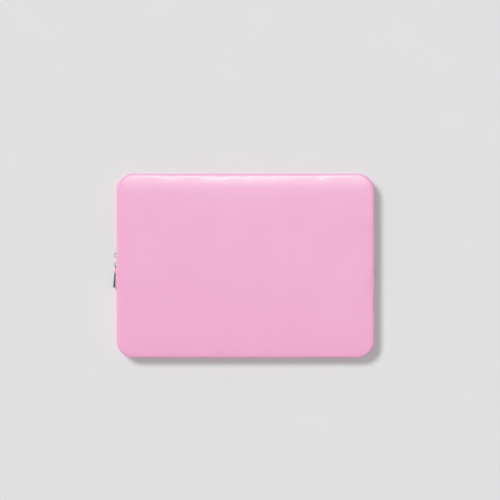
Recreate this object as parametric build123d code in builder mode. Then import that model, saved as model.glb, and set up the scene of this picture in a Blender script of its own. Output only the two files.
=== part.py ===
"""Zip-around padded laptop sleeve.

Lies on its back: +X right, +Y towards the zipped top edge, +Z out of the front face.
The origin is the centre of the back face. Millimetres.
An inset is a distance in from the outline, seen from above; the sliders run on the left edge.
"""
import os
from math import asin, cos, radians, sin
from build123d import *

# Overall size
width = 350.0
height = 250.0
corner_radius = 24.0

# Padded panels: outer cover, foam and lining, from the outside in
cover_thick = 1.2
foam_thick = 3.6
lining_thick = 1.2
outer_round = 4.4
channel_round = 1.5
cover_return = 9.0

# Edge of the sleeve between the two panels
channel_width = 12.0
zip_end_y = -9.0
tape_thick = 0.5
tape_inset = 4.2
tape_flange = 5.3
coil_width = 2.0
coil_thick = 1.5
coil_gap = 1.3
binding_lap = 0.8
binding_thick = 0.5
gusset_inset = 1.5
gusset_cover_thick = 1.2
gusset_foam_thick = 3.3
gusset_lining_thick = 1.0

# Fabric tabs over the two ends of the zip
tab_length = 9.8
tab_below_zip_end = 5.0
tab_proud = 0.5
tab_hem_proud = 2.4
tab_hem_clear = 0.35
tab_round = 0.9
tab_crown_fall = 3.6

# Sliders: two, nose to nose, at the left end of the zip
slider_length = 11.4
slider_channel_clear = 1.3
slider_lip = 1.05
slider_plate = 1.0
slider_clear = 0.25
slider_side_clear = 0.3
slider_gap = 0.2
slider_round = 0.3
plate_corner = 1.6
post_width = 0.9
post_length = 3.5
arch_length = 6.7
arch_proud = 2.75
arch_band = 0.85
arch_leg = 0.9
arch_width = 2.2
arch_round = 2.3
arch_back_of_middle = 0.8

# Pulls: a wire loop with a moulded grip
wire = 1.0
loop_length = 8.0
loop_half_width = 2.3
loop_corner = 1.2
bar_clear = 0.3
lower_bar_clear = 0.95
grip_start = 6.7
grip_end = 30.1
grip_start_width = 7.0
grip_side_clear = 2.0
grip_start_thick = 1.5
grip_waist_thick = 1.9
grip_waist = 12.0
grip_thick = 2.2
grip_full = 20.0
grip_corner_left = 1.0
grip_edge = 0.35
grip_above_floor = 1.9
grip_above_panel = 0.45
lower_lean = radians(5.6)
upper_lean = radians(-1.3)

# Fold of the front panel, just above the sliders
fold_clear = 2.0
fold_gap = 0.3

# Worked out from the sizes above
panel_thick = cover_thick + foam_thick + lining_thick
front_z = panel_thick + channel_width
thickness = front_z + panel_thick
middle_z = panel_thick + channel_width / 2
left_x = -width / 2
tape_inner = tape_inset + tape_thick
flange_edge = tape_inner + tape_flange
coil_inset = tape_inset - coil_thick
tab_low_y = zip_end_y - tab_below_zip_end
tab_high_y = tab_low_y + tab_length
lower_tail_y = tab_high_y + slider_gap
meeting_y = lower_tail_y + slider_length + slider_gap / 2
upper_tail_y = meeting_y + slider_gap / 2 + slider_length
fold_y = upper_tail_y + fold_clear
outer_plate_inset = coil_inset - slider_clear - slider_plate
inner_plate_inset = tape_inner + slider_clear
gusset_foam_inset = gusset_inset + gusset_cover_thick
gusset_lining_inset = gusset_foam_inset + gusset_foam_thick
binding_inset = gusset_lining_inset + gusset_lining_thick
slot_half = coil_gap / 2 + coil_width + slider_side_clear
nose_half = channel_width / 2 - slider_channel_clear
tail_half = slot_half + slider_lip
grip_end_width = channel_width - 2 * grip_side_clear
lower_droop = asin((middle_z - grip_end_width / 2 - grip_above_floor) / grip_end)
upper_droop = asin((grip_side_clear - grip_above_panel) / grip_end)
grip_top_z = middle_z + grip_start_width / 2 * cos(lower_droop) - grip_start * sin(lower_droop)
hem_foot_z = grip_top_z + tab_hem_clear
hem_edge = (front_z - hem_foot_z) / 4

os.makedirs("parts", exist_ok=True)


def save(piece, label):
    piece.part.label = label
    export_step(piece.part, f"parts/{label}.step")


def slab(inset, low_z, high_z, mode=Mode.ADD):
    """The outline, drawn in by an inset, as a flat slab."""
    with BuildSketch(Plane.XY.offset(low_z)) as outline:
        RectangleRounded(width - 2 * inset, height - 2 * inset, corner_radius - inset)
    return extrude(outline.sketch, amount=high_z - low_z, mode=mode)


def band(outer_inset, inner_inset, low_z, high_z, mode=Mode.ADD):
    """A band that follows the outline between two insets."""
    with BuildSketch(Plane.XY.offset(low_z)) as outline:
        RectangleRounded(width - 2 * outer_inset, height - 2 * outer_inset, corner_radius - outer_inset)
        RectangleRounded(
            width - 2 * inner_inset,
            height - 2 * inner_inset,
            corner_radius - inner_inset,
            mode=Mode.SUBTRACT,
        )
    return extrude(outline.sketch, amount=high_z - low_z, mode=mode)


def keep_above(y):
    split(bisect_by=Plane(origin=(0, y, 0), z_dir=(0, 1, 0)), keep=Keep.TOP)


def keep_below(y):
    split(bisect_by=Plane(origin=(0, y, 0), z_dir=(0, 1, 0)), keep=Keep.BOTTOM)


def in_sleeve():
    keep_below(fold_y - fold_gap / 2)


def in_flap():
    keep_above(fold_y + fold_gap / 2)


def whole():
    """A piece of the back, which the fold doesn't cross."""


def foam_pad(label, low_z, outside_z, part_kept):
    """The foam of one panel, rounded at the panel's outer face."""
    with BuildPart() as foam:
        slab(cover_thick, low_z, low_z + foam_thick)
        outer_face = foam.edges().group_by(Axis.Z)[0 if outside_z < low_z else -1]
        fillet(outer_face, outer_round - cover_thick)
        if label:
            part_kept()
    if label:
        save(foam, label)
    return foam


def panel(name, outside_z, inside_z, part_kept):
    """Cover, foam and lining of one panel, between its outer and inner faces."""
    low_z, high_z = min(outside_z, inside_z), max(outside_z, inside_z)
    outward = -1 if outside_z < inside_z else 1
    foam_low = low_z + (cover_thick if outward < 0 else lining_thick)
    lining_low = inside_z - lining_thick if outward < 0 else inside_z
    whole_foam = foam_pad("", foam_low, outside_z, whole)
    with BuildPart() as cover:
        slab(0, low_z, high_z)
        fillet(cover.edges().group_by(Axis.Z)[0 if outward < 0 else -1], outer_round)
        fillet(cover.edges().group_by(Axis.Z)[-1 if outward < 0 else 0], channel_round)
        add(whole_foam.part, mode=Mode.SUBTRACT)
        slab(cover_return, lining_low, lining_low + lining_thick, mode=Mode.SUBTRACT)
        part_kept()
    save(cover, f"{name}_cover")
    foam_pad(f"{name}_foam", foam_low, outside_z, part_kept)
    with BuildPart() as lining:
        slab(cover_return, lining_low, lining_low + lining_thick)
        part_kept()
    save(lining, f"{name}_lining")


def zip_half(name, panel_face, part_kept):
    """Tape, coil row and seam binding along one panel's inner face."""
    inward = 1 if panel_face < middle_z else -1
    web_edge = middle_z - inward * coil_gap / 2
    coil_edge = web_edge - inward * coil_width
    flange_face = panel_face + inward * tape_thick
    binding_face = flange_face + inward * binding_thick
    with BuildPart() as tape:
        band(tape_inset, tape_inner, *sorted((panel_face, web_edge)))
        band(tape_inner, flange_edge, *sorted((panel_face, flange_face)))
        keep_above(zip_end_y)
        part_kept()
    save(tape, f"{name}_zip_tape")
    with BuildPart() as coil:
        band(coil_inset, tape_inset, *sorted((coil_edge, web_edge)))
        keep_above(zip_end_y)
        part_kept()
    save(coil, f"{name}_zip_coil")
    with BuildPart() as tape_seat:
        band(tape_inset, flange_edge, *sorted((panel_face, flange_face)))
        keep_above(zip_end_y)
    with BuildPart() as binding:
        band(binding_inset, flange_edge + binding_lap, *sorted((panel_face, binding_face)))
        add(tape_seat.part, mode=Mode.SUBTRACT)
        part_kept()
    save(binding, f"{name}_binding")


# Panels. The front one is two bodies, which meet at the fold.
panel("back", 0, panel_thick, whole)
panel("front", thickness, front_z, in_sleeve)
panel("flap", thickness, front_z, in_flap)

# Zip along the top and the upper sides
zip_half("back", panel_thick, whole)
zip_half("front", front_z, in_sleeve)
zip_half("flap", front_z, in_flap)

# Padded gusset round the bottom and the lower sides
for layer, outer, thick in (
    ("cover", gusset_inset, gusset_cover_thick),
    ("foam", gusset_foam_inset, gusset_foam_thick),
    ("lining", gusset_lining_inset, gusset_lining_thick),
):
    with BuildPart() as gusset:
        band(outer, outer + thick, panel_thick, front_z)
        keep_below(zip_end_y)
    save(gusset, f"gusset_{layer}")


def end_tab(label, outline):
    """A folded fabric tab over the end of the zip; the outline is (inset, height) pairs."""
    with BuildPart() as tab:
        with BuildSketch(Plane.XZ.offset(-tab_low_y)):
            with BuildLine():
                Polyline([(left_x + inset, z) for inset, z in outline], close=True)
            make_face()
        extrude(amount=-tab_length)
        long_edges = tab.edges().filter_by(Axis.Y)
        fillet(long_edges.filter_by(lambda edge: edge.center().X < left_x + gusset_inset), tab_round)
        with BuildSketch(Plane.XY.offset(panel_thick)):
            with Locations((left_x + gusset_inset, zip_end_y)):
                Rectangle(coil_inset, tab_length, align=(Align.MIN, Align.MAX))
        extrude(amount=channel_width, mode=Mode.SUBTRACT)
        if label.startswith("right"):
            mirror(about=Plane.YZ, mode=Mode.REPLACE)
    save(tab, label)


# The left tab has a thick folded hem on the front side, over the pull
end_tab(
    "left_end_tab",
    [
        (coil_inset, panel_thick),
        (coil_inset, front_z),
        (-tab_proud, front_z),
        (-tab_hem_proud, front_z - hem_edge),
        (-tab_hem_proud, hem_foot_z + hem_edge),
        (-tab_proud, hem_foot_z),
        (-tab_proud, panel_thick + tab_round),
        (0, panel_thick),
    ],
)
end_tab(
    "right_end_tab",
    [
        (coil_inset, panel_thick),
        (coil_inset, front_z),
        (0, front_z),
        (-tab_proud, front_z - tab_crown_fall),
        (-tab_proud, panel_thick + tab_crown_fall),
        (0, panel_thick),
    ],
)


def slider(label, direction):
    """A slider whose nose is at the meeting line and whose tail points in a direction along Y."""
    nose_y = meeting_y + direction * slider_gap / 2
    tail_y = nose_y + direction * slider_length
    arch_y = (nose_y + tail_y) / 2 + direction * arch_back_of_middle
    shoulder_y = nose_y + direction * post_length

    def plate(inset, narrower):
        shoulder = nose_half - narrower
        tail = tail_half - narrower
        with BuildSketch(Plane.YZ.offset(left_x + inset)) as shape:
            with BuildLine():
                Polyline(
                    [
                        (nose_y, middle_z + shoulder),
                        (shoulder_y, middle_z + shoulder),
                        (tail_y, middle_z + tail),
                        (tail_y, middle_z - tail),
                        (shoulder_y, middle_z - shoulder),
                        (nose_y, middle_z - shoulder),
                    ],
                    close=True,
                )
            make_face()
            fillet(shape.vertices(), plate_corner)
        extrude(shape.sketch, amount=slider_plate)

    def arch_outline(proud, depth, length, corner):
        with BuildSketch(Plane.XY.offset(middle_z)) as shape:
            with Locations((left_x - proud, arch_y)):
                Rectangle(proud + depth, length, align=(Align.MIN, Align.CENTER))
            fillet(shape.vertices().group_by(Axis.X)[0], corner)
        return shape.sketch

    with BuildPart() as body:
        plate(outer_plate_inset, 0)
        fillet(body.faces().sort_by(Axis.X)[0].edges(), slider_round)
        plate(inner_plate_inset, slider_round)
        with BuildSketch(Plane.YZ.offset(left_x + outer_plate_inset + slider_plate)):
            with Locations((nose_y + direction * post_length / 2, middle_z)):
                Rectangle(post_length, post_width)
        extrude(amount=inner_plate_inset - outer_plate_inset - slider_plate)
        with BuildSketch(Plane.YZ.offset(left_x + outer_plate_inset + slider_plate)):
            for side in (-1, 1):
                with Locations(((nose_y + tail_y) / 2, middle_z + side * (slot_half + slider_lip / 2))):
                    Rectangle(slider_length - 2 * post_length, slider_lip)
        extrude(amount=coil_thick)
        outer_arch = arch_outline(arch_proud, outer_plate_inset + slider_round, arch_length, arch_round)
        extrude(outer_arch, amount=arch_width / 2, both=True)
        arch_hole = arch_outline(
            arch_proud - arch_band, outer_plate_inset, arch_length - 2 * arch_leg, arch_round - arch_leg
        )
        extrude(arch_hole, amount=arch_width / 2, both=True, mode=Mode.SUBTRACT)
    save(body, label)


def pull(name, direction, bar_x, bar_y, lean, droop):
    """A wire loop and its grip; the pull points along Y, leans outward and droops downward."""
    along = Vector(0, direction * cos(droop), -sin(droop))
    outward = Vector(-1, 0, 0)
    length_dir = along * cos(lean) + outward * sin(lean)
    face_dir = outward * cos(lean) - along * sin(lean)
    flat = Plane(origin=(bar_x, bar_y, middle_z), x_dir=length_dir, z_dir=face_dir)
    side = Plane(origin=flat.origin, x_dir=length_dir, z_dir=flat.y_dir)
    with BuildPart() as loop:
        with BuildLine(flat) as route:
            corners = [
                (0, -loop_half_width),
                (loop_length, -loop_half_width),
                (loop_length, loop_half_width),
                (0, loop_half_width),
            ]
            FilletPolyline(corners, radius=loop_corner, close=True)
        start = Plane(origin=route.wire() @ 0, z_dir=route.wire() % 0)
        with BuildSketch(start):
            Circle(wire / 2)
        sweep(path=route.wire())
    save(loop, f"{name}_pull_loop")
    with BuildPart() as grip:
        with BuildSketch(side):
            with BuildLine():
                Polyline(
                    [
                        (grip_start, -grip_start_thick / 2),
                        (grip_waist, -grip_waist_thick / 2),
                        (grip_full, -grip_thick / 2),
                        (grip_end, -grip_thick / 2),
                        (grip_end, grip_thick / 2),
                        (grip_full, grip_thick / 2),
                        (grip_waist, grip_waist_thick / 2),
                        (grip_start, grip_start_thick / 2),
                    ],
                    close=True,
                )
            make_face()
        extrude(amount=grip_end_width, both=True)
        with BuildSketch(flat):
            with BuildLine():
                Polyline(
                    [
                        (grip_start, -grip_start_width / 2),
                        (grip_end, -grip_end_width / 2),
                        (grip_end, grip_end_width / 2),
                        (grip_start, grip_start_width / 2),
                    ],
                    close=True,
                )
            face = make_face()
            fillet(face.vertices().sort_by_distance(flat.origin)[2:], grip_end_width / 2 - grip_corner_left)
        extrude(amount=grip_thick, both=True, mode=Mode.INTERSECT)
        fillet(grip.edges(), grip_edge)
        add(loop.part, mode=Mode.SUBTRACT)
    save(grip, f"{name}_pull_grip")


slider("lower_slider_body", -1)
slider("upper_slider_body", 1)

# The lower bar hangs in the outer corner of its arch; the upper bar lies on the slider's plate
arch_from_meeting = slider_gap / 2 + slider_length / 2 + arch_back_of_middle
bar_reach = arch_length / 2 - arch_leg - wire / 2
lower_bar_x = left_x - arch_proud + arch_band + wire / 2 + bar_clear
lower_bar_y = meeting_y - arch_from_meeting - bar_reach + lower_bar_clear
upper_bar_x = left_x + outer_plate_inset - wire / 2 - slider_clear
upper_bar_y = meeting_y + arch_from_meeting + bar_reach - bar_clear
pull("lower", -1, lower_bar_x, lower_bar_y, lower_lean, lower_droop)
pull("upper", 1, upper_bar_x, upper_bar_y, upper_lean, upper_droop)
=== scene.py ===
from math import pi, sin, cos, exp, hypot, radians
import bmesh
import bpy
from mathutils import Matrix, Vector, noise


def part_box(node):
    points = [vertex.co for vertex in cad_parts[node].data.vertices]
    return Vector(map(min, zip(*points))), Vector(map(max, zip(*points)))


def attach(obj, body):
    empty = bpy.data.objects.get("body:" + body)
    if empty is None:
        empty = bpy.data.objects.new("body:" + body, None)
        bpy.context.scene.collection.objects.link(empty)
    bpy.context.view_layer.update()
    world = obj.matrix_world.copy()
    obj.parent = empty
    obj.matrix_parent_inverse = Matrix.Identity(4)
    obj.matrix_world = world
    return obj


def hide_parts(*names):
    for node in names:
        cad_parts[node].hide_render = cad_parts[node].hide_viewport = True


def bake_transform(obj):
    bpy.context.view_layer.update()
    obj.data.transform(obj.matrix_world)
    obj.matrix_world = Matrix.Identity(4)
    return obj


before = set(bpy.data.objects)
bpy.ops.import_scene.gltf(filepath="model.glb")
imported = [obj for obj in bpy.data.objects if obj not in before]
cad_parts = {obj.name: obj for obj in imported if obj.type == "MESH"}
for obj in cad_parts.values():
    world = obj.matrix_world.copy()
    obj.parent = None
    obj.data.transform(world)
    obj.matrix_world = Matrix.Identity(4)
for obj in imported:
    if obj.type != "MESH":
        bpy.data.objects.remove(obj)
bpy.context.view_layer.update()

# Padded laptop sleeve lying on its back: +X right, +Y the zipped top edge, +Z out of the front
mm = 0.001


class Field:  # a node's output that can be used in sums
    def __init__(self, maker, socket):
        self.maker = maker
        self.socket = socket

    def work(self, operation, first, second):
        return self.maker.add("ShaderNodeMath", {"operation": operation}, {0: first, 1: second})

    def __add__(self, other):
        return self.work("ADD", self, other)

    def __radd__(self, other):
        return self.work("ADD", other, self)

    def __sub__(self, other):
        return self.work("SUBTRACT", self, other)

    def __rsub__(self, other):
        return self.work("SUBTRACT", other, self)

    def __mul__(self, other):
        return self.work("MULTIPLY", self, other)

    def __rmul__(self, other):
        return self.work("MULTIPLY", other, self)


class Maker:  # adds nodes to one tree, shader or geometry
    def __init__(self, tree):
        self.tree = tree
        tree.nodes.clear()

    def add(self, kind, settings=None, sockets=None, out=0):
        node = self.tree.nodes.new(kind)
        for key, value in (settings or {}).items():
            setattr(node, key, value)
        for key, value in (sockets or {}).items():
            self.plug(node.inputs[key], value)
        return node if out is None else Field(self, node.outputs[out])

    def plug(self, target, value):
        if isinstance(value, Field):
            self.tree.links.new(value.socket, target)
        else:
            target.default_value = value

    def wave(self, value, period):  # 0 to 1 and back, once every period
        turned = self.add("ShaderNodeMath", {"operation": "SINE"}, {0: value * (2 * pi / period)})
        return turned * 0.5 + 0.5

    def cloud(self, place, size, detail, seed):  # soft noise of a given size in metres
        sockets = {"Vector": place, "Scale": 1 / size, "Detail": detail, "W": seed}
        return self.add("ShaderNodeTexNoise", {"noise_dimensions": "4D"}, sockets, "Fac")

    def tint(self, factor, first, second):
        sockets = {0: factor, 6: (*first, 1.0), 7: (*second, 1.0)}
        return self.add("ShaderNodeMix", {"data_type": "RGBA"}, sockets, 2)

    def spot(self):
        return self.add("ShaderNodeTexCoord", None, None, "Object")

    def cloth(self):  # along, across on the piece's own cloth map
        return self.add("ShaderNodeUVMap", {"uv_map": "cloth"})

    def parts(self, place):
        split = self.add("ShaderNodeSeparateXYZ", None, {0: place}, None)
        return [Field(self, output) for output in split.outputs]


def surface(name, look, settings):
    material = bpy.data.materials.new(name)
    material.use_nodes = True
    shade = Maker(material.node_tree)
    shader = shade.add("ShaderNodeBsdfPrincipled", None, None, None)
    shade.add("ShaderNodeOutputMaterial", None, {0: Field(shade, shader.outputs[0])}, None)
    for socket, value in settings.get("fixed", {}).items():
        shader.inputs[socket].default_value = value
    colour, rough, height = look(shade, settings)
    bump = shade.add("ShaderNodeBump", None, {"Height": height, "Distance": settings["relief"]})
    for socket, value in (("Base Color", colour), ("Roughness", rough), ("Normal", bump)):
        shade.plug(shader.inputs[socket], value)
    return material


def knitLook(shade, settings):  # fine ribs along the cloth, with cloudy shading
    place = shade.cloth()
    along, across, _ = shade.parts(place)
    rib = shade.wave(across, settings["pitch"])
    loops = shade.wave(along + rib * (settings["pitch"] * 0.35), settings["pitch"] * 0.8)
    broad = shade.cloud(shade.spot(), settings["cloudSize"], 3.0, settings["seed"])
    fine = shade.cloud(shade.spot(), settings["fineSize"], 4.0, settings["seed"] + 1)
    stitch = rib * 0.6 + loops * 0.4
    tone = broad * 0.45 + fine * 0.25 + stitch * 0.30
    rough = settings["rough"] + (broad - 0.5) * 0.10 + (fine - 0.5) * 0.06 - stitch * 0.03
    return shade.tint(tone, settings["dark"], settings["light"]), rough, stitch + fine * 0.8


def weaveLook(shade, settings):  # plain weave: over and under in turn
    place = shade.cloth()
    along, across, _ = shade.parts(place)
    warp = shade.wave(along, settings["pitch"])
    weft = shade.wave(across, settings["pitch"])
    over = shade.wave(along + across, settings["pitch"] * 2)
    thread = warp * over + weft * (1 - over)
    broad = shade.cloud(shade.spot(), settings["cloudSize"], 3.0, settings["seed"])
    tone = thread * 0.6 + broad * 0.4
    rough = settings["rough"] - thread * 0.10 + broad * 0.08
    return shade.tint(tone, settings["dark"], settings["light"]), rough, thread


def plushLook(shade, settings):
    spot = shade.spot()
    pile = shade.cloud(spot, settings["pile"], 5.0, settings["seed"])
    tufts = shade.cloud(spot, settings["pile"] * 6, 3.0, settings["seed"] + 1)
    broad = shade.cloud(spot, settings["cloudSize"], 2.0, settings["seed"] + 2)
    tone = pile * 0.45 + tufts * 0.3 + broad * 0.25
    rough = settings["rough"] + pile * 0.12
    return shade.tint(tone, settings["dark"], settings["light"]), rough, pile + tufts


def foamLook(shade, settings):
    spot = shade.spot()
    sockets = {"Vector": spot, "Scale": 1 / settings["cell"]}
    cells = shade.add("ShaderNodeTexVoronoi", None, sockets, "Distance")
    broad = shade.cloud(spot, settings["cloudSize"], 2.0, settings["seed"])
    tone = cells * 0.7 + broad * 0.4
    return shade.tint(tone, settings["dark"], settings["light"]), settings["rough"] - cells * 0.1, cells


def threadLook(shade, settings):
    spot = shade.spot()
    x, y, z = shade.parts(spot)
    twist = shade.wave(x + y + z, settings["twist"])
    broad = shade.cloud(spot, settings["cloudSize"], 2.0, settings["seed"])
    colour = shade.tint(twist * 0.5 + broad * 0.5, settings["dark"], settings["light"])
    return colour, settings["rough"] + twist * 0.1, twist


clothSheen = {"Sheen Weight": 0.12, "Sheen Roughness": 0.35, "Sheen Tint": (1.0, 0.86, 0.93, 1.0)}
coverCloth = surface("coverCloth", knitLook, {
    "pitch": 0.55 * mm, "cloudSize": 60 * mm, "fineSize": 1.6 * mm, "seed": 3.0, "relief": 0.02 * mm,
    "dark": (0.872, 0.396, 0.619), "light": (0.952, 0.461, 0.698), "rough": 0.30,
    "fixed": {"Specular IOR Level": 0.55, **clothSheen},
})
tabCloth = surface("tabCloth", weaveLook, {
    "pitch": 0.6 * mm, "cloudSize": 12 * mm, "seed": 5.0, "relief": 0.03 * mm,
    "dark": (0.80, 0.355, 0.555), "light": (0.90, 0.445, 0.645), "rough": 0.62,
    "fixed": {"Specular IOR Level": 0.35, **clothSheen},
})
tapeCloth = surface("tapeCloth", weaveLook, {
    "pitch": 0.62 * mm, "cloudSize": 25 * mm, "seed": 8.0, "relief": 0.05 * mm,
    "dark": (0.62, 0.235, 0.415), "light": (0.80, 0.345, 0.545), "rough": 0.78,
    "fixed": {"Specular IOR Level": 0.25, **clothSheen},
})
bindingCloth = surface("bindingCloth", weaveLook, {
    "pitch": 0.9 * mm, "cloudSize": 30 * mm, "seed": 11.0, "relief": 0.08 * mm,
    "dark": (0.60, 0.22, 0.40), "light": (0.78, 0.33, 0.53), "rough": 0.75,
    "fixed": {"Specular IOR Level": 0.25, **clothSheen},
})
liningPlush = surface("liningPlush", plushLook, {
    "pile": 0.8 * mm, "cloudSize": 60 * mm, "seed": 2.0, "relief": 0.35 * mm,
    "dark": (0.42, 0.41, 0.43), "light": (0.70, 0.69, 0.71), "rough": 0.85,
    "fixed": {"Sheen Weight": 0.5, "Sheen Roughness": 0.5},
})
padFoam = surface("padFoam", foamLook, {
    "cell": 0.7 * mm, "cloudSize": 20 * mm, "seed": 4.0, "relief": 0.2 * mm,
    "dark": (0.46, 0.45, 0.43), "light": (0.76, 0.75, 0.72), "rough": 0.92,
})
sewingThread = surface("sewingThread", threadLook, {
    "twist": 0.45 * mm, "cloudSize": 8 * mm, "seed": 9.0, "relief": 0.04 * mm,
    "dark": (0.66, 0.27, 0.46), "light": (0.88, 0.43, 0.63), "rough": 0.48,
})


def nylonLook(shade, settings):
    cloud = shade.cloud(shade.spot(), settings["cloudSize"], 3.0, settings["seed"])
    return shade.tint(cloud, settings["dark"], settings["light"]), settings["rough"] + cloud * 0.15, cloud


def metalLook(shade, settings):  # drawn along Y, with faint tarnish in patches
    spot = shade.spot()
    drawn = shade.add("ShaderNodeMapping", None, {"Vector": spot, "Scale": (5.0, 1.0, 5.0)})
    grain = shade.cloud(drawn, settings["grain"], 4.0, settings["seed"])
    patches = shade.cloud(spot, settings["cloudSize"], 4.0, settings["seed"] + 1)
    tone = patches * 0.75 + grain * 0.25
    rough = settings["rough"] + patches * 0.16 - grain * 0.05
    return shade.tint(tone, settings["dark"], settings["light"]), rough, grain + patches * 0.6


def rubberLook(shade, settings):  # fine moulded grain, rubbed a little paler in patches
    spot = shade.spot()
    grain = shade.cloud(spot, settings["grain"], 4.0, settings["seed"])
    rubbed = shade.cloud(spot, settings["cloudSize"], 3.0, settings["seed"] + 1)
    rough = settings["rough"] + rubbed * 0.14 + grain * 0.08
    return shade.tint(rubbed, settings["dark"], settings["light"]), rough, grain


coilNylon = surface("coilNylon", nylonLook, {
    "cloudSize": 1.2 * mm, "seed": 6.0, "relief": 0.02 * mm, "rough": 0.30,
    "dark": (0.66, 0.24, 0.43), "light": (0.82, 0.36, 0.56),
})
sliderMetal = surface("sliderMetal", metalLook, {
    "grain": 0.3 * mm, "cloudSize": 2.5 * mm, "seed": 1.0, "relief": 0.012 * mm, "rough": 0.27,
    "dark": (0.115, 0.112, 0.086), "light": (0.25, 0.245, 0.20), "fixed": {"Metallic": 1.0},
})
loopMetal = surface("loopMetal", metalLook, {
    "grain": 0.25 * mm, "cloudSize": 3 * mm, "seed": 4.0, "relief": 0.01 * mm, "rough": 0.22,
    "dark": (0.52, 0.52, 0.50), "light": (0.78, 0.78, 0.76), "fixed": {"Metallic": 1.0},
})
gripRubber = surface("gripRubber", rubberLook, {
    "grain": 0.35 * mm, "cloudSize": 5 * mm, "seed": 3.0, "relief": 0.05 * mm, "rough": 0.40,
    "dark": (0.042, 0.092, 0.112), "light": (0.090, 0.160, 0.172),
})
print("finishes made")


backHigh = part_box("back_cover")[1]
frontLow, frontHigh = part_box("flap_cover")
halfWidth, halfHeight = backHigh.x, backHigh.y
panelThick = backHigh.z
frontZ, topZ = frontLow.z, frontHigh.z
middleZ = (panelThick + frontZ) / 2
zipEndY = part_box("back_zip_tape")[0].y
corner = 24 * mm
coreX, coreY = halfWidth - corner, halfHeight - corner  # the corner arcs' centres


def insetOf(node):  # how far in from the outline a node's right side lies
    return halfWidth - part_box(node)[1].x


def stepsFor(length, step):
    return max(1, round(length / step))


def cornerArc(x, y, start, steps):  # a quarter turn clockwise, both ends left out
    angles = [start - pi / 2 * k / steps for k in range(1, steps)]
    return [(x, y, cos(a), sin(a)) for a in angles]


def sideRun(start, end, normal, steps):
    (x0, y0), (x1, y1) = start, end
    shares = [k / steps for k in range(steps + 1)]
    return [(x0 + (x1 - x0) * t, y0 + (y1 - y0) * t, *normal) for t in shares]


# From y = low on the left side over the top to the right side, or mirrored, round the bottom
def openPath(low, step, mirrored=False):
    if mirrored:
        return [(x, -y, nx, -ny) for x, y, nx, ny in openPath(-low, step)]
    up, over = stepsFor(coreY - low, step), stepsFor(2 * coreX, step)
    bend = stepsFor(corner * pi / 2, step)
    path = sideRun((-coreX, low), (-coreX, coreY), (-1, 0), up)
    path += cornerArc(-coreX, coreY, pi, bend)
    path += sideRun((-coreX, coreY), (coreX, coreY), (0, 1), over)
    path += cornerArc(coreX, coreY, pi / 2, bend)
    path += sideRun((coreX, coreY), (coreX, low), (1, 0), up)
    return path


def closedPath(step, bend):
    up, over = stepsFor(2 * coreY, step), stepsFor(2 * coreX, step)
    path = sideRun((-coreX, -coreY), (-coreX, coreY), (-1, 0), up)
    path += cornerArc(-coreX, coreY, pi, bend)
    path += sideRun((-coreX, coreY), (coreX, coreY), (0, 1), over)
    path += cornerArc(coreX, coreY, pi / 2, bend)
    path += sideRun((coreX, coreY), (coreX, -coreY), (1, 0), up)
    path += cornerArc(coreX, -coreY, 0, bend)
    path += sideRun((coreX, -coreY), (-coreX, -coreY), (0, -1), over)
    path += cornerArc(-coreX, -coreY, -pi / 2, bend)
    return path, over, up


def place(station, inset):
    x, y, nx, ny = station
    return x + nx * (corner - inset), y + ny * (corner - inset)


def newPiece(name, points, faces, cornerMap, material):
    mesh = bpy.data.meshes.new(name)
    mesh.from_pydata(points, [], faces)
    mesh.materials.append(material)
    layer = mesh.uv_layers.new(name="cloth")
    layer.data.foreach_set("uv", [value for spot in cornerMap for value in spot])
    mesh.polygons.foreach_set("use_smooth", [True] * len(mesh.polygons))
    piece = bpy.data.objects.new(name, mesh)
    bpy.context.scene.collection.objects.link(piece)
    return piece


def editMesh(piece, change):
    work = bmesh.new()
    work.from_mesh(piece.data)
    change(work)
    work.to_mesh(piece.data)
    work.free()
    return piece


def outwards(work):
    bmesh.ops.recalc_face_normals(work, faces=work.faces)


def plain(piece):  # its modifiers made into the mesh
    shape = bpy.data.meshes.new_from_object(piece.evaluated_get(bpy.context.evaluated_depsgraph_get()))
    piece.modifiers.clear()
    piece.data = shape
    return piece


def rounded(piece, levels=1):
    smoother = piece.modifiers.new("smoother", "SUBSURF")
    smoother.levels = smoother.render_levels = levels
    return piece


def walled(piece, thick):
    wall = piece.modifiers.new("wall", "SOLIDIFY")
    wall.thickness = thick
    wall.offset = -1
    return piece


def ribbon(line, thick, tip=4):  # the closed outline of a strip round a centre line of (inset, z)
    left, right = [], []
    for k, (inset, z) in enumerate(line):
        before, after = line[max(k - 1, 0)], line[min(k + 1, len(line) - 1)]
        run, rise = after[0] - before[0], after[1] - before[1]
        size = hypot(run, rise) / (thick / 2)
        left.append((inset - rise / size, z + run / size))
        right.append((inset + rise / size, z - run / size))
    caps = []
    for (inset, z), (nearInset, nearZ) in ((line[-1], line[-2]), (line[0], line[1])):
        size = hypot(inset - nearInset, z - nearZ) / (thick / 2)
        run, rise = (inset - nearInset) / size, (z - nearZ) / size
        angles = [pi / 2 - pi * k / tip for k in range(1, tip)]
        turned = [(run * cos(a) - rise * sin(a), rise * cos(a) + run * sin(a)) for a in angles]
        caps.append([(inset + across, z + up) for across, up in turned])
    return left + caps[0] + right[::-1] + caps[1]


def newTree(name, inputs):
    tree = bpy.data.node_groups.new(name, "GeometryNodeTree")
    tree.interface.new_socket("Geometry", in_out="INPUT", socket_type="NodeSocketGeometry")
    for label, kind in inputs:
        tree.interface.new_socket(label, in_out="INPUT", socket_type="NodeSocket" + kind)
    tree.interface.new_socket("Geometry", in_out="OUTPUT", socket_type="NodeSocketGeometry")
    maker = Maker(tree)
    source = maker.add("NodeGroupInput", None, None, None)
    return tree, maker, {socket.name: Field(maker, socket) for socket in source.outputs if socket.name}


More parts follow.
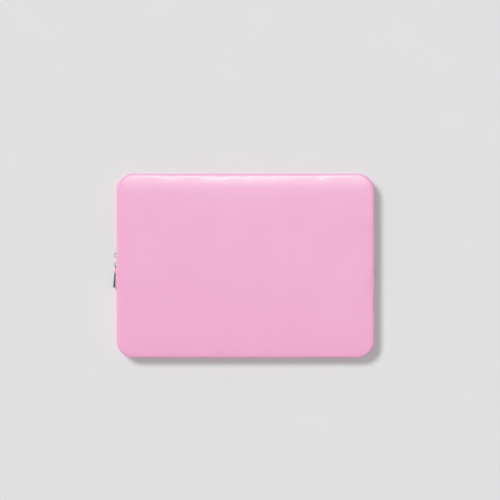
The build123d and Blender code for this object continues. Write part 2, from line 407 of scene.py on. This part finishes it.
def endTree(maker, geometry, material):
    real = maker.add("GeometryNodeRealizeInstances", None, {"Geometry": geometry})
    smooth = maker.add("GeometryNodeSetShadeSmooth", None, {"Geometry": real})
    finished = maker.add("GeometryNodeSetMaterial", None, {"Geometry": smooth, "Material": material})
    maker.add("NodeGroupOutput", None, {"Geometry": finished}, None)


def hostLine(name, points, outward=()):
    mesh = bpy.data.meshes.new(name)
    mesh.from_pydata(points, [(k, k + 1) for k in range(len(points) - 1)], [])
    if outward:
        layer = mesh.attributes.new("outward", "FLOAT_VECTOR", "POINT")
        layer.data.foreach_set("vector", [value for way in outward for value in way])
    host = bpy.data.objects.new(name, mesh)
    bpy.context.scene.collection.objects.link(host)
    return host


def grow(host, tree, values):
    modifier = host.modifiers.new("grow", "NODES")
    modifier.node_group = tree
    for item in tree.interface.items_tree:
        if item.in_out == "INPUT" and item.name in values:
            modifier[item.identifier] = values[item.name]
    return plain(host)


def stripTree():  # a section carried along a flat line, with a cloth map along and round it
    tree, maker, fields = newTree("edgeStrip", [("Section", "Object"), ("Material", "Material")])
    place = maker.add("GeometryNodeSplineParameter", None, None, "Length")

    def measured(geometry, label):  # the curve, with each point's distance along it kept
        curve = maker.add("GeometryNodeMeshToCurve", None, {"Mesh": geometry})
        return maker.add("GeometryNodeStoreNamedAttribute", {"data_type": "FLOAT", "domain": "POINT"},
                         {"Geometry": curve, "Name": label, "Value": place})

    def kept(label):
        return maker.add("GeometryNodeInputNamedAttribute", {"data_type": "FLOAT"}, {"Name": label})

    line = measured(fields["Geometry"], "along")
    line = maker.add("GeometryNodeSetCurveNormal", {"mode": "Z_UP"}, {"Curve": line})
    shape = maker.add("GeometryNodeObjectInfo", None, {"Object": fields["Section"]}, "Geometry")
    sockets = {"Curve": line, "Profile Curve": measured(shape, "round")}
    skin = maker.add("GeometryNodeCurveToMesh", None, sockets)
    cloth = maker.add("ShaderNodeCombineXYZ", None, {0: kept("along"), 1: kept("round")})
    mapped = maker.add("GeometryNodeStoreNamedAttribute", {"data_type": "FLOAT2", "domain": "CORNER"},
                       {"Geometry": skin, "Name": "cloth", "Value": cloth})
    endTree(maker, mapped, fields["Material"])
    return tree


edgeStrip = stripTree()
stripLine = 4 * mm  # how far in from the outline the strips' line runs


def closeUp(work):
    bmesh.ops.remove_doubles(work, verts=work.verts, dist=0.01 * mm)
    bmesh.ops.holes_fill(work, edges=work.edges)
    outwards(work)


def strip(name, path, section, material):  # the section is a closed outline of (inset, z)
    shape = hostLine(name + "Section", [(inset - stripLine, -z, 0.0) for inset, z in section + section[:1]])
    host = hostLine(name, [(*place(station, stripLine), 0.0) for station in path])
    grow(host, edgeStrip, {"Section": shape, "Material": material})
    bpy.data.objects.remove(shape)
    return editMesh(host, closeUp)


def wander(x, y, seed, amount):  # smooth noise, up to plus or minus the amount
    return amount * noise.noise(Vector((x, y, seed)))


def frontBend(piece):  # the front piece's placement baked into its mesh
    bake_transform(piece)


panel = {
    "channelRound": 1.5 * mm, "sideTop": 2.0 * mm, "rollIn": 6.0 * mm, "rollPower": 2.8,
    "sagSide": 0.8 * mm, "sagTop": 2.4 * mm, "sagLow": 1.5 * mm, "sagReachX": 7 * mm, "sagReachY": 10 * mm,
    "unevenness": 0.14 * mm, "unevenSize": 75 * mm,
    "wave": 0.20 * mm, "waveSize": 70 * mm, "waveReach": 15 * mm, "waveFade": 1.5,
    "coverThick": 1.1 * mm, "foamGap": 0.45 * mm, "roundSteps": 4, "rollSteps": 6,
    "channelRings": (6.5 * mm, 3.8 * mm), "foamRings": [9 * mm, 15 * mm],
    "coverRings": [7.8 * mm, 10.4 * mm, 13.6 * mm, 17 * mm, 20.5 * mm],
    "step": 3.6 * mm, "cornerSteps": 10, "foamStep": 7.2 * mm, "foamCornerSteps": 5,
}
dip = {"depth": 0.75 * mm, "length": 118 * mm, "fade": 10 * mm, "middle": 0.35 * mm, "middleSize": 24 * mm,
       "at": -6 * mm}
windowInset = insetOf("back_lining")


def edgePull(station, seed, dips):  # how far in the rolled edge is drawn
    x, y, nx, ny = station
    across = x + nx * corner
    pull = wander(across / panel["waveSize"], (y + ny * corner) / panel["waveSize"], seed, panel["wave"])
    if dips and ny > 0.5:
        shoulder = 1 / (1 + exp((abs(across - dip["at"]) - dip["length"]) / dip["fade"]))
        notch = dip["middle"] * exp(-((across - dip["at"] / 2) / dip["middleSize"]) ** 2)
        pull += ny * (dip["depth"] * shoulder + notch)
    return pull


def sagAt(x, y):  # how far the face falls away towards its edges
    inX, inY = max(0.0, halfWidth - abs(x)), max(0.0, halfHeight - abs(y))
    upright = panel["sagTop"] if y > 0 else panel["sagLow"]
    return panel["sagSide"] * exp(-inX / panel["sagReachX"]) + upright * exp(-inY / panel["sagReachY"])


def faceRule(inset, seed, sunk):  # height of the face above the channel side, at rings this far in
    into = max(0.0, 1 - inset / panel["rollIn"])
    share = (1 - into ** panel["rollPower"]) ** (1 / panel["rollPower"])

    def height(x, y):
        lift = wander(x / panel["unevenSize"], y / panel["unevenSize"], seed, panel["unevenness"])
        rise = panelThick - panel["sideTop"] - panel["unevenness"] - sagAt(x, y) + lift
        return panel["sideTop"] + rise * share - sunk
    return height


def level(height):
    return lambda x, y: height


def padForm(name, rings, lowRule, base, out, material, step, cornerSteps, pull):
    # rings of (inset, height rule) run from the channel side round the edge to the face
    path, over, up = closedPath(step, cornerSteps)
    size = len(path)
    flat = [rings[-1][0]]
    for (inset, rule), (after, afterRule) in zip(rings[-2::-1], rings[:0:-1]):
        climb = afterRule(0, halfHeight - after) - rule(0, halfHeight - inset)
        flat.append(flat[-1] - hypot(after - inset, climb))
    points, spots, faces = [], [], []
    for (inset, rule), flatInset in zip(rings, flat[::-1]):
        reach = max(0.0, 1 - inset / panel["waveReach"]) ** panel["waveFade"]
        for station in path:
            x, y = place(station, inset)
            drawn = pull(station) * reach
            points.append((x - station[2] * drawn, y - station[3] * drawn, base + out * rule(x, y)))
            spots.append(place(station, flatInset))
    for k in range(len(rings) - 1):
        for j in range(size):
            a, b = k * size + j, k * size + (j + 1) % size
            faces.append((a, a + size, b + size, b))
    for ring, rule, top in ((len(rings) - 1, rings[-1][1], True), (0, lowRule, False)):
        if rule is None:  # left open: a window in the channel side
            continue
        start = len(points)
        for j in range(up + 1):
            for i in range(over + 1):
                x, y = -coreX + 2 * coreX * i / over, -coreY + 2 * coreY * j / up
                points.append((x, y, base + out * rule(x, y)))
                spots.append((x, y))
        for j in range(up):
            for i in range(over):
                a = start + j * (over + 1) + i
                square = (a, a + 1, a + over + 2, a + over + 1)
                faces.append(square if top else square[::-1])
        columns = [round((station[0] + coreX) / (2 * coreX) * over) for station in path]
        rows = [round((station[1] + coreY) / (2 * coreY) * up) for station in path]
        rim = [start + row * (over + 1) + column for row, column in zip(rows, columns)]
        for j in range(size):
            a, b = ring * size + j, ring * size + (j + 1) % size
            c, d = rim[(j + 1) % size], rim[j]
            patch = (a, b, c, d) if c != d else (a, b, c)
            faces.append(patch[::-1] if top else patch)
    piece = newPiece(name, points, faces, [spots[v] for face in faces for v in face], material)
    if out < 0:
        piece.data.flip_normals()
    return piece


def edgeRings(shrink, seed, faceInsets):  # channel side, rounded arris, then the rolled face
    small, roundSteps, rollSteps = panel["channelRound"], panel["roundSteps"], panel["rollSteps"]
    turns = [pi / 2 * k / roundSteps for k in range(roundSteps + 1)]
    rings = [(inset, level(shrink)) for inset in (windowInset, *panel["channelRings"])]
    rings += [(small * (1 - sin(a)) + shrink, level(small * (1 - cos(a)) + shrink)) for a in turns]
    roll = [panel["rollIn"] * (1 - cos(pi / 2 * k / rollSteps)) for k in range(rollSteps + 1)]
    rings += [(inset + shrink, faceRule(inset, seed, shrink)) for inset in roll + faceInsets]
    return rings


cloth = {"frames": 20, "pressure": 4.0, "slack": 0.003, "bending": 8.0, "stretch": 40.0, "quality": 6,
         "mass": 0.2, "farthest": 0.9 * mm, "faceHold": 0.6, "freeTo": 16 * mm, "sewnHeight": 0.6 * mm,
         "calming": 4}


def swollen(pad, base):  # blown up as cloth, sewn down all round the channel side
    group = pad.vertex_groups.new(name="held")
    for vertex in pad.data.vertices:
        x, y, z = vertex.co
        sewn = abs(z - base) < cloth["sewnHeight"]
        inside = min(halfWidth - abs(x), halfHeight - abs(y)) / cloth["freeTo"]
        group.add([vertex.index], 1.0 if sewn else cloth["faceHold"] * min(1.0, max(0.0, inside)), "REPLACE")
    work = pad.modifiers.new("cloth", "CLOTH")
    fabric = work.settings
    fabric.quality = cloth["quality"]
    fabric.mass = cloth["mass"]
    fabric.tension_stiffness = fabric.compression_stiffness = cloth["stretch"]
    fabric.shear_stiffness = cloth["stretch"] / 2
    fabric.bending_stiffness = cloth["bending"]
    fabric.vertex_group_mass = group.name
    fabric.shrink_min = -cloth["slack"]
    fabric.use_pressure = True
    fabric.uniform_pressure_force = cloth["pressure"]
    fabric.effector_weights.gravity = 0.0
    work.point_cache.frame_start = 1
    work.point_cache.frame_end = cloth["frames"]
    for step in range(1, cloth["frames"] + 1):
        bpy.context.scene.frame_set(step)
    blown = pad.evaluated_get(bpy.context.evaluated_depsgraph_get()).data
    moves = [after.co - vertex.co for vertex, after in zip(pad.data.vertices, blown.vertices)]
    near = [[] for _ in moves]
    for a, b in (edge.vertices for edge in pad.data.edges):
        near[a].append(b)
        near[b].append(a)
    for _ in range(cloth["calming"]):  # each point moves much as its neighbours do
        moves = [(move + sum((moves[n] for n in others), Vector())) / (1 + len(others))
                 for move, others in zip(moves, near)]
    for vertex, move in zip(pad.data.vertices, moves):
        vertex.co += move * min(1.0, cloth["farthest"] / max(move.length, 0.01 * mm))
    pad.modifiers.remove(work)
    pad.vertex_groups.clear()
    bpy.context.scene.frame_set(1)
    return pad


def openWindow(pad, count):  # takes away the closed middle of the channel side
    editMesh(pad, lambda work: bmesh.ops.delete(work, geom=list(work.verts)[-count:], context="VERTS"))


def panelCover(name, base, out, seed, dips):
    rings = edgeRings(0.0, seed, panel["coverRings"])
    cover = padForm(name, rings, rings[0][1], base, out, coverCloth, panel["step"], panel["cornerSteps"],
                    lambda station: edgePull(station, seed, dips))
    swollen(cover, base)
    over, up = stepsFor(2 * coreX, panel["step"]), stepsFor(2 * coreY, panel["step"])
    openWindow(cover, (over + 1) * (up + 1))
    plain(walled(rounded(cover), panel["coverThick"]))
    return cover


def panelFoam(name, base, out, seed, dips):
    rings = edgeRings(panel["coverThick"] + panel["foamGap"], seed, panel["foamRings"])
    foam = padForm(name, rings, rings[0][1], base, out, padFoam, panel["foamStep"], panel["foamCornerSteps"],
                   lambda station: edgePull(station, seed, dips))
    plain(rounded(foam))
    return foam


frontCover = panelCover("frontCover", frontZ, 1, 1.0, True)
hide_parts("front_cover", "flap_cover")
frontBend(frontCover)
backCover = panelCover("backCover", panelThick, -1, 7.0, False)
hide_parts("back_cover")
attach(backCover, "sleeve")
frontFoam = panelFoam("frontFoam", frontZ, 1, 1.0, True)
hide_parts("front_foam", "flap_foam")
frontBend(frontFoam)
backFoam = panelFoam("backFoam", panelThick, -1, 7.0, False)
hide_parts("back_foam")
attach(backFoam, "sleeve")
print("panels made")


lining = {"thick": 1.05 * mm, "edge": 0.45 * mm, "gap": 0.1 * mm, "rumple": 0.22 * mm,
          "rumpleSize": 24 * mm, "flatEdge": 12 * mm, "step": 3.6 * mm}


def panelLining(name, base, out, seed):
    inset, edge = windowInset + lining["gap"], lining["edge"]

    def plush(x, y):
        fade = min(1.0, max(0.0, halfWidth - windowInset - abs(x)) / lining["flatEdge"])
        fade *= min(1.0, max(0.0, halfHeight - windowInset - abs(y)) / lining["flatEdge"])
        return wander(x / lining["rumpleSize"], y / lining["rumpleSize"], seed, lining["rumple"] * fade)

    rings = [(inset + edge * 3, plush), (inset + edge, plush), (inset, level(edge)),
             (inset, level(lining["thick"] - edge)), (inset + edge, level(lining["thick"])),
             (inset + edge * 3, level(lining["thick"]))]
    piece = padForm(name, rings, plush, base, out, liningPlush, lining["step"], panel["cornerSteps"],
                    lambda station: 0.0)
    plain(rounded(piece))
    width, height = 2 * (halfWidth - inset), 2 * (halfHeight - inset)
    return piece, (width, height)


backLining, liningCut = panelLining("backLining", panelThick, -1, 21.0)
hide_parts("back_lining")
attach(backLining, "sleeve")
frontLining, liningCut = panelLining("frontLining", frontZ, 1, 24.0)
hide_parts("front_lining", "flap_lining")
frontBend(frontLining)
print("linings made")


gusset = {"seamIn": 2.0 * mm, "bulge": 1.0 * mm, "coverThick": 1.0 * mm, "foamThick": 3.0 * mm,
          "liningThick": 0.95 * mm, "seamGap": 0.25 * mm, "zipGap": 0.2 * mm, "layerGap": 0.1 * mm,
          "foamBulge": 0.9, "bowPower": 0.7, "bowSteps": 10, "step": 3.6 * mm}
gussetPath = openPath(zipEndY - gusset["zipGap"], gusset["step"], mirrored=True)[::-1]


def bowed(middle, bulge):  # a strip's centre line across the channel, bowed outwards
    low, high = panelThick + gusset["seamGap"], frontZ - gusset["seamGap"]
    shares = [k / gusset["bowSteps"] for k in range(gusset["bowSteps"] + 1)]
    bows = [bulge * sin(pi * share) ** gusset["bowPower"] for share in shares]
    return [(middle - bow, low + (high - low) * share) for bow, share in zip(bows, shares)]


def gussetStrip(name, outer, thick, bulge, material, node):
    piece = strip(name, gussetPath, ribbon(bowed(outer + thick / 2, bulge), thick), material)
    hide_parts(node)
    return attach(piece, "sleeve")


foamInset = gusset["seamIn"] + gusset["coverThick"] + gusset["layerGap"]
liningInset = foamInset + gusset["foamThick"]
gussetCover = gussetStrip("gussetCover", gusset["seamIn"], gusset["coverThick"], gusset["bulge"],
                          coverCloth, "gusset_cover")
gussetFoam = gussetStrip("gussetFoam", foamInset, gusset["foamThick"], gusset["bulge"] * gusset["foamBulge"],
                         padFoam, "gusset_foam")
gussetLining = gussetStrip("gussetLining", liningInset, gusset["liningThick"], 0.0,
                           liningPlush, "gusset_lining")
print("gusset made")


tapeInset = insetOf("back_zip_tape")
coilInset = insetOf("back_zip_coil")
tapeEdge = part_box("back_zip_tape")[1].z
zipTape = {"thick": 0.5 * mm, "bend": 1.1 * mm, "flange": 9.8 * mm, "flangeMiddle": 7.5 * mm,
           "seat": 0.02 * mm, "toCoil": 0.25 * mm, "webShares": (0.45, 0.7, 1.0), "step": 2.4 * mm}
binding = {"thick": 0.5 * mm, "over": 0.3 * mm, "outer": 7.2 * mm, "inner": 10.9 * mm, "seat": 0.05 * mm,
           "turnIn": 0.4 * mm, "step": 3.6 * mm}
bindingCrown = [(0.0, -0.05 * mm), (0.9 * mm, 0.04 * mm), (1.9 * mm, 0.02 * mm), (2.7 * mm, -0.10 * mm)]


def fromPanel(line, front):  # (inset, height over the panel's channel side) to (inset, z)
    return [(inset, frontZ - height if front else panelThick + height) for inset, height in line]


def tapeProfile(front):
    middle = tapeInset + zipTape["thick"] / 2
    foot = zipTape["thick"] / 2 + zipTape["seat"]
    bend, top = zipTape["bend"], tapeEdge - panelThick - zipTape["thick"] / 2 + zipTape["toCoil"]
    line = [(zipTape["flange"], foot), (zipTape["flangeMiddle"], foot), (middle + bend, foot)]
    line += [(middle + bend * (1 - sin(a)), foot + bend * (1 - cos(a))) for a in (pi / 6, pi / 3, pi / 2)]
    line += [(middle, foot + (top - foot) * share) for share in zipTape["webShares"]]
    return ribbon(fromPanel(line, front), zipTape["thick"])


def bindingProfile(front):
    low, high = binding["thick"] / 2 + binding["seat"], zipTape["thick"] + binding["over"]
    outer, inner = binding["outer"], binding["inner"]
    line = [(outer + along, high + up) for along, up in bindingCrown]
    line += [(inner - binding["turnIn"], (low + high) / 2), (inner, low)]
    return ribbon(fromPanel(line, front), binding["thick"])


def wholeWay(step):  # once round, from the middle of the left side back to it
    path, _, up = closedPath(step, panel["cornerSteps"])
    return path[up // 2:] + path[:up // 2 + 1]


zipPath = openPath(zipEndY, zipTape["step"])
backTape = strip("backTape", zipPath, tapeProfile(False), tapeCloth)
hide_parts("back_zip_tape")
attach(backTape, "sleeve")
frontTape = strip("frontTape", zipPath, tapeProfile(True), tapeCloth)
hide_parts("front_zip_tape", "flap_zip_tape")
frontBend(frontTape)
wholePath = wholeWay(binding["step"])
backBinding = strip("backBinding", wholePath, bindingProfile(False), bindingCloth)
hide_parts("back_binding")
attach(backBinding, "sleeve")
frontBinding = strip("frontBinding", wholePath, bindingProfile(True), bindingCloth)
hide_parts("front_binding", "flap_binding")
frontBend(frontBinding)
print("tapes and bindings made")


def alongLine(maker, fields):  # even places on the line, with X along it and Z outwards
    curve = maker.add("GeometryNodeMeshToCurve", None, {"Mesh": fields["Geometry"]})
    sockets = {"Curve": curve, "Length": fields["Spacing"]}
    spots = maker.add("GeometryNodeCurveToPoints", {"mode": "LENGTH"}, sockets, None)
    outward = maker.add("GeometryNodeInputNamedAttribute", {"data_type": "FLOAT_VECTOR"}, {"Name": "outward"})
    tangent = Field(maker, spots.outputs["Tangent"])
    forward = maker.add("FunctionNodeAlignRotationToVector", {"axis": "X"}, {"Vector": tangent})
    sockets = {"Rotation": forward, "Vector": outward}
    turn = maker.add("FunctionNodeAlignRotationToVector", {"axis": "Z", "pivot_axis": "X"}, sockets)
    return Field(maker, spots.outputs["Points"]), turn


def coilTree():
    inputs = [("Spacing", "Float"), ("Half Width", "Float"), ("Half Height", "Float"), ("Wire", "Float"),
              ("Material", "Material")]
    tree, maker, fields = newTree("coilTurns", inputs)
    points, turn = alongLine(maker, fields)
    sockets = {"Resolution": 10, "Rotations": 1.0, "Start Radius": 1.0, "End Radius": 1.0,
               "Height": fields["Spacing"]}
    helix = maker.add("GeometryNodeCurveSpiral", None, sockets)
    lying = maker.add("GeometryNodeTransform", None, {"Geometry": helix, "Rotation": (0.0, pi / 2, 0.0)})
    sockets = {0: 1.0, 1: fields["Half Width"], 2: fields["Half Height"]}
    size = maker.add("ShaderNodeCombineXYZ", None, sockets)
    oval = maker.add("GeometryNodeTransform", None, {"Geometry": lying, "Scale": size})
    section = maker.add("GeometryNodeCurvePrimitiveCircle", None, {"Resolution": 6, "Radius": fields["Wire"]})
    sockets = {"Curve": oval, "Profile Curve": section, "Fill Caps": True}
    wire = maker.add("GeometryNodeCurveToMesh", None, sockets)
    sockets = {"Points": points, "Instance": wire, "Rotation": turn}
    endTree(maker, maker.add("GeometryNodeInstanceOnPoints", None, sockets), fields["Material"])
    return tree


stitchSway = 0.06  # how unevenly the stitches lie, in radians


def stitchTree():
    inputs = [("Spacing", "Float"), ("Length", "Float"), ("Thread", "Float"), ("Slant", "Float"),
              ("Seed", "Int"), ("Material", "Material")]
    tree, maker, fields = newTree("stitchRow", inputs)
    points, turn = alongLine(maker, fields)
    bead = maker.add("GeometryNodeMeshUVSphere", None, {"Segments": 8, "Rings": 6, "Radius": 1.0})
    size = maker.add("ShaderNodeCombineXYZ", None, {
        0: fields["Length"] * 0.5, 1: fields["Thread"], 2: fields["Thread"]})
    stitch = maker.add("GeometryNodeTransform", None, {"Geometry": bead, "Scale": size})
    sockets = {2: -stitchSway, 3: stitchSway, "Seed": fields["Seed"]}
    jitter = maker.add("FunctionNodeRandomValue", {"data_type": "FLOAT"}, sockets, 1)
    tilt = maker.add("ShaderNodeCombineXYZ", None, {2: fields["Slant"] + jitter})
    sockets = {"Rotation": turn, "Rotate By": tilt}
    slanted = maker.add("FunctionNodeRotateRotation", {"rotation_space": "LOCAL"}, sockets)
    sockets = {"Points": points, "Instance": stitch, "Rotation": slanted}
    endTree(maker, maker.add("GeometryNodeInstanceOnPoints", None, sockets), fields["Material"])
    return tree


coilTurns, stitchRow = coilTree(), stitchTree()
coil = {"pitch": 1.25 * mm, "wire": 0.36 * mm, "past": 0.45 * mm, "reach": 2.65 * mm,
        "endGap": 1.2 * mm, "step": 1.0 * mm}


def coilLine(name, front):
    wire, past, reach = coil["wire"], coil["past"], coil["reach"]
    z = middleZ + (1 if front else -1) * (reach - past) / 2
    inset = (tapeInset + coilInset) / 2
    shift = coil["pitch"] / 2 if front else 0.0
    path = openPath(zipEndY + coil["endGap"] + shift, coil["step"])
    points = [(*place(station, inset), z) for station in path]
    host = hostLine(name, points, [(nx, ny, 0.0) for _, _, nx, ny in path])
    return grow(host, coilTurns, {
        "Spacing": coil["pitch"], "Half Width": (reach + past) / 2 - wire,
        "Half Height": (tapeInset - coilInset) / 2 - wire, "Wire": wire, "Material": coilNylon})


backCoil = coilLine("backCoil", False)
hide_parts("back_zip_coil")
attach(backCoil, "sleeve")
frontCoil = coilLine("frontCoil", True)
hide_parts("front_zip_coil", "flap_zip_coil")
frontBend(frontCoil)
print("coil teeth made")

seam = {"spacing": 3.4 * mm, "length": 2.6 * mm, "thread": 0.20 * mm, "tapeHeight": 2.35 * mm,
        "tapeStart": 2 * mm, "seat": 0.02 * mm, "bindingInset": 8.9 * mm, "bindingHeight": 1.1 * mm,
        "step": 1.8 * mm}


def seamRow(name, path, inset, z, ways, seed):
    points = [(*place(station, inset), z) for station in path]
    return grow(hostLine(name, points, ways), stitchRow, {
        "Spacing": seam["spacing"], "Length": seam["length"], "Thread": seam["thread"], "Slant": 0.0,
        "Seed": seed, "Material": sewingThread})


def sewnRows(label, front, seed):  # along the tape's web and along the binding
    path = openPath(zipEndY + seam["tapeStart"], seam["step"])
    sides = [(nx, ny, 0.0) for _, _, nx, ny in path]
    height = seam["tapeHeight"]
    z = frontZ - height if front else panelThick + height
    yield seamRow(label + "TapeSeam", path, tapeInset - seam["seat"], z, sides, seed)
    path = wholeWay(seam["step"])
    height = seam["bindingHeight"]
    z = frontZ - height if front else panelThick + height
    inwards = [(0.0, 0.0, -1.0 if front else 1.0)] * len(path)
    yield seamRow(label + "BindingSeam", path, seam["bindingInset"], z, inwards, seed + 1)


for row in sewnRows("back", False, 3):
    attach(row, "sleeve")
for row in sewnRows("front", True, 5):
    frontBend(row)
print("seams made")


tab = {"thick": 0.95 * mm, "hemOut": 2.35 * mm, "hemFrom": 14.4 * mm, "rows": 9, "hemTaper": 0.8,
       "edgeFall": 0.35 * mm, "leftProud": 0.5 * mm, "rightProud": 1.0 * mm}
tack = {"in": 1.5 * mm, "length": 1.5 * mm, "spacing": 0.55 * mm, "thread": 0.17 * mm,
        "slant": pi / 2 - 0.25, "fromPanel": 2.4 * mm, "underHem": 0.9 * mm, "seat": 0.02 * mm}


def tabLine(proud, hemOut):  # (inset, z) over the channel, from the back panel to the front one
    low = tab["hemFrom"]
    foot = [(3.6 * mm, 0.15 * mm), (1.2 * mm, 0.45 * mm), (0.1 * mm, 1.3 * mm), (-proud, 3.0 * mm)]
    line = [(inset, panelThick + height) for inset, height in foot] + [(-proud, middleZ)]
    head = [(inset, frontZ - height) for inset, height in foot[::-1]]
    if not hemOut:
        return line + head
    line += [(-proud, low - 0.7 * mm), (-proud - 0.35 * mm, low), (-hemOut + 0.25 * mm, low + 0.8 * mm)]
    line += [(-hemOut, low + 1.7 * mm), (-hemOut + 0.35 * mm, low + 2.6 * mm), (-0.6 * mm, low + 3.0 * mm)]
    return line + head[2:]


def endTab(name, node, side, proud, hemOut):
    low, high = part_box(node)
    line = tabLine(proud, hemOut)
    rows, size = tab["rows"], len(line)
    points, faces, spots = [], [], []
    for k in range(rows):
        share = k / (rows - 1)
        y = low.y + (high.y - low.y) * share
        fall = tab["edgeFall"] * abs(2 * share - 1) ** 4
        for inset, z in line:
            hem = max(0.0, -inset - proud) * (1 - share) * tab["hemTaper"]
            points.append((side * (halfWidth - inset - fall - hem), y, z))
            spots.append((y, z + inset))
    for k in range(rows - 1):
        for j in range(size - 1):
            a = k * size + j
            square = (a, a + size, a + size + 1, a + 1)
            faces.append(square if side > 0 else square[::-1])
    piece = newPiece(name, points, faces, [spots[v] for face in faces for v in face], tabCloth)
    plain(rounded(walled(piece, tab["thick"]), 2))
    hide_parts(node)
    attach(piece, "sleeve")
    top = tab["hemFrom"] - tack["underHem"] if hemOut else frontZ - tack["fromPanel"]
    bottom = panelThick + tack["fromPanel"]
    x = side * (halfWidth + proud - tack["seat"])
    for label, y in (("Low", low.y + tack["in"]), ("High", high.y - tack["in"])):
        spots = [(x, y, z) for z in (bottom, (bottom + top) / 2, top)]
        row = grow(hostLine(name + "Tack" + label, spots, [(side, 0.0, 0.0)] * len(spots)), stitchRow, {
            "Spacing": tack["spacing"], "Length": tack["length"], "Thread": tack["thread"],
            "Slant": tack["slant"], "Seed": 11, "Material": sewingThread})
        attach(row, "sleeve")


endTab("leftEndTab", "left_end_tab", -1, tab["leftProud"], tab["hemOut"])
endTab("rightEndTab", "right_end_tab", 1, tab["rightProud"], 0.0)
print("end tabs made")


metalAndRubber = {
    sliderMetal: ("lower_slider_body", "upper_slider_body"),
    loopMetal: ("lower_pull_loop", "upper_pull_loop"),
    gripRubber: ("lower_pull_grip", "upper_pull_grip"),
}
for finish, nodes in metalAndRubber.items():
    for node in nodes:
        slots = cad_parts[node].data.materials
        slots.clear()
        slots.append(finish)


def plasterLook(shade, settings):
    cloud = shade.cloud(shade.spot(), settings["cloudSize"], 5.0, settings["seed"])
    return shade.tint(cloud, settings["dark"], settings["light"]), settings["rough"] + cloud * 0.05, cloud


palePlaster = surface("palePlaster", plasterLook, {
    "cloudSize": 70 * mm, "seed": 1.0, "relief": 0.1 * mm, "rough": 0.9,
    "dark": (0.515, 0.515, 0.515), "light": (0.545, 0.545, 0.545),
    "fixed": {"Emission Color": (1.0, 1.0, 1.0, 1.0), "Emission Strength": 0.235, "Specular IOR Level": 0.2},
})
floorHalf = 8.0
floorCorners = [(x * floorHalf, y * floorHalf, 0) for x, y in ((-1, -1), (1, -1), (1, 1), (-1, 1))]
floor = newPiece("floor", floorCorners, [(0, 1, 2, 3)], [(x, y) for x, y, _ in floorCorners], palePlaster)

studio = {
    "keyFrom": (-0.5, 0.5, 1.0), "keyStrength": 2.64, "keyAngle": 19.0, "room": 0.28,
    "edgeTilt": 24.5, "edgeDistance": 3.5, "edgeAcross": 0.8, "edgeDeep": 1.25,
    "edgePower": 74.0, "edgeColour": (0.62, 1.0, 0.78),  # pale green keeps the pink cloth from turning peach
}


def addLight(name, kind, position, settings):
    lamp = bpy.data.lights.new(name, kind)
    for key, value in settings.items():
        setattr(lamp, key, value)
    light = bpy.data.objects.new(name, lamp)
    light.location = position
    light.rotation_euler = (-Vector(position)).to_track_quat("-Z", "Y").to_euler()
    bpy.context.scene.collection.objects.link(light)
    return light


keyLight = addLight("keyLight", "SUN", studio["keyFrom"], {
    "energy": studio["keyStrength"], "angle": radians(studio["keyAngle"])})
keyLight.visible_glossy = False  # soft light only
edgeTilt, edgeDistance = radians(studio["edgeTilt"]), studio["edgeDistance"]
edgeLight = addLight("edgeLight", "AREA", (0.0, edgeDistance * sin(edgeTilt), edgeDistance * cos(edgeTilt)), {
    "shape": "RECTANGLE", "size": studio["edgeAcross"], "size_y": studio["edgeDeep"],
    "energy": studio["edgePower"], "color": studio["edgeColour"]})
edgeLight.visible_diffuse = False  # it only shines along the rolled edge
world = bpy.data.worlds.new("room")
world.use_nodes = True
world.node_tree.nodes["Background"].inputs["Color"].default_value = (1, 1, 1, 1)
world.node_tree.nodes["Background"].inputs["Strength"].default_value = studio["room"]
bpy.context.scene.world = world
bpy.context.scene.view_settings.view_transform = "Standard"

shot = {"lens": 200.0, "aimX": 5.9 * mm, "aimY": 21.3 * mm, "across": 677.5 * mm, "farthest": 100.0}
eye = bpy.data.cameras.new("camera")
eye.lens = shot["lens"]
eye.clip_end = shot["farthest"]
camera = bpy.data.objects.new("camera", eye)
camera.location = (shot["aimX"], shot["aimY"], frontZ + shot["across"] * shot["lens"] / eye.sensor_width)
bpy.context.scene.collection.objects.link(camera)
bpy.context.scene.camera = camera
print("studio made")
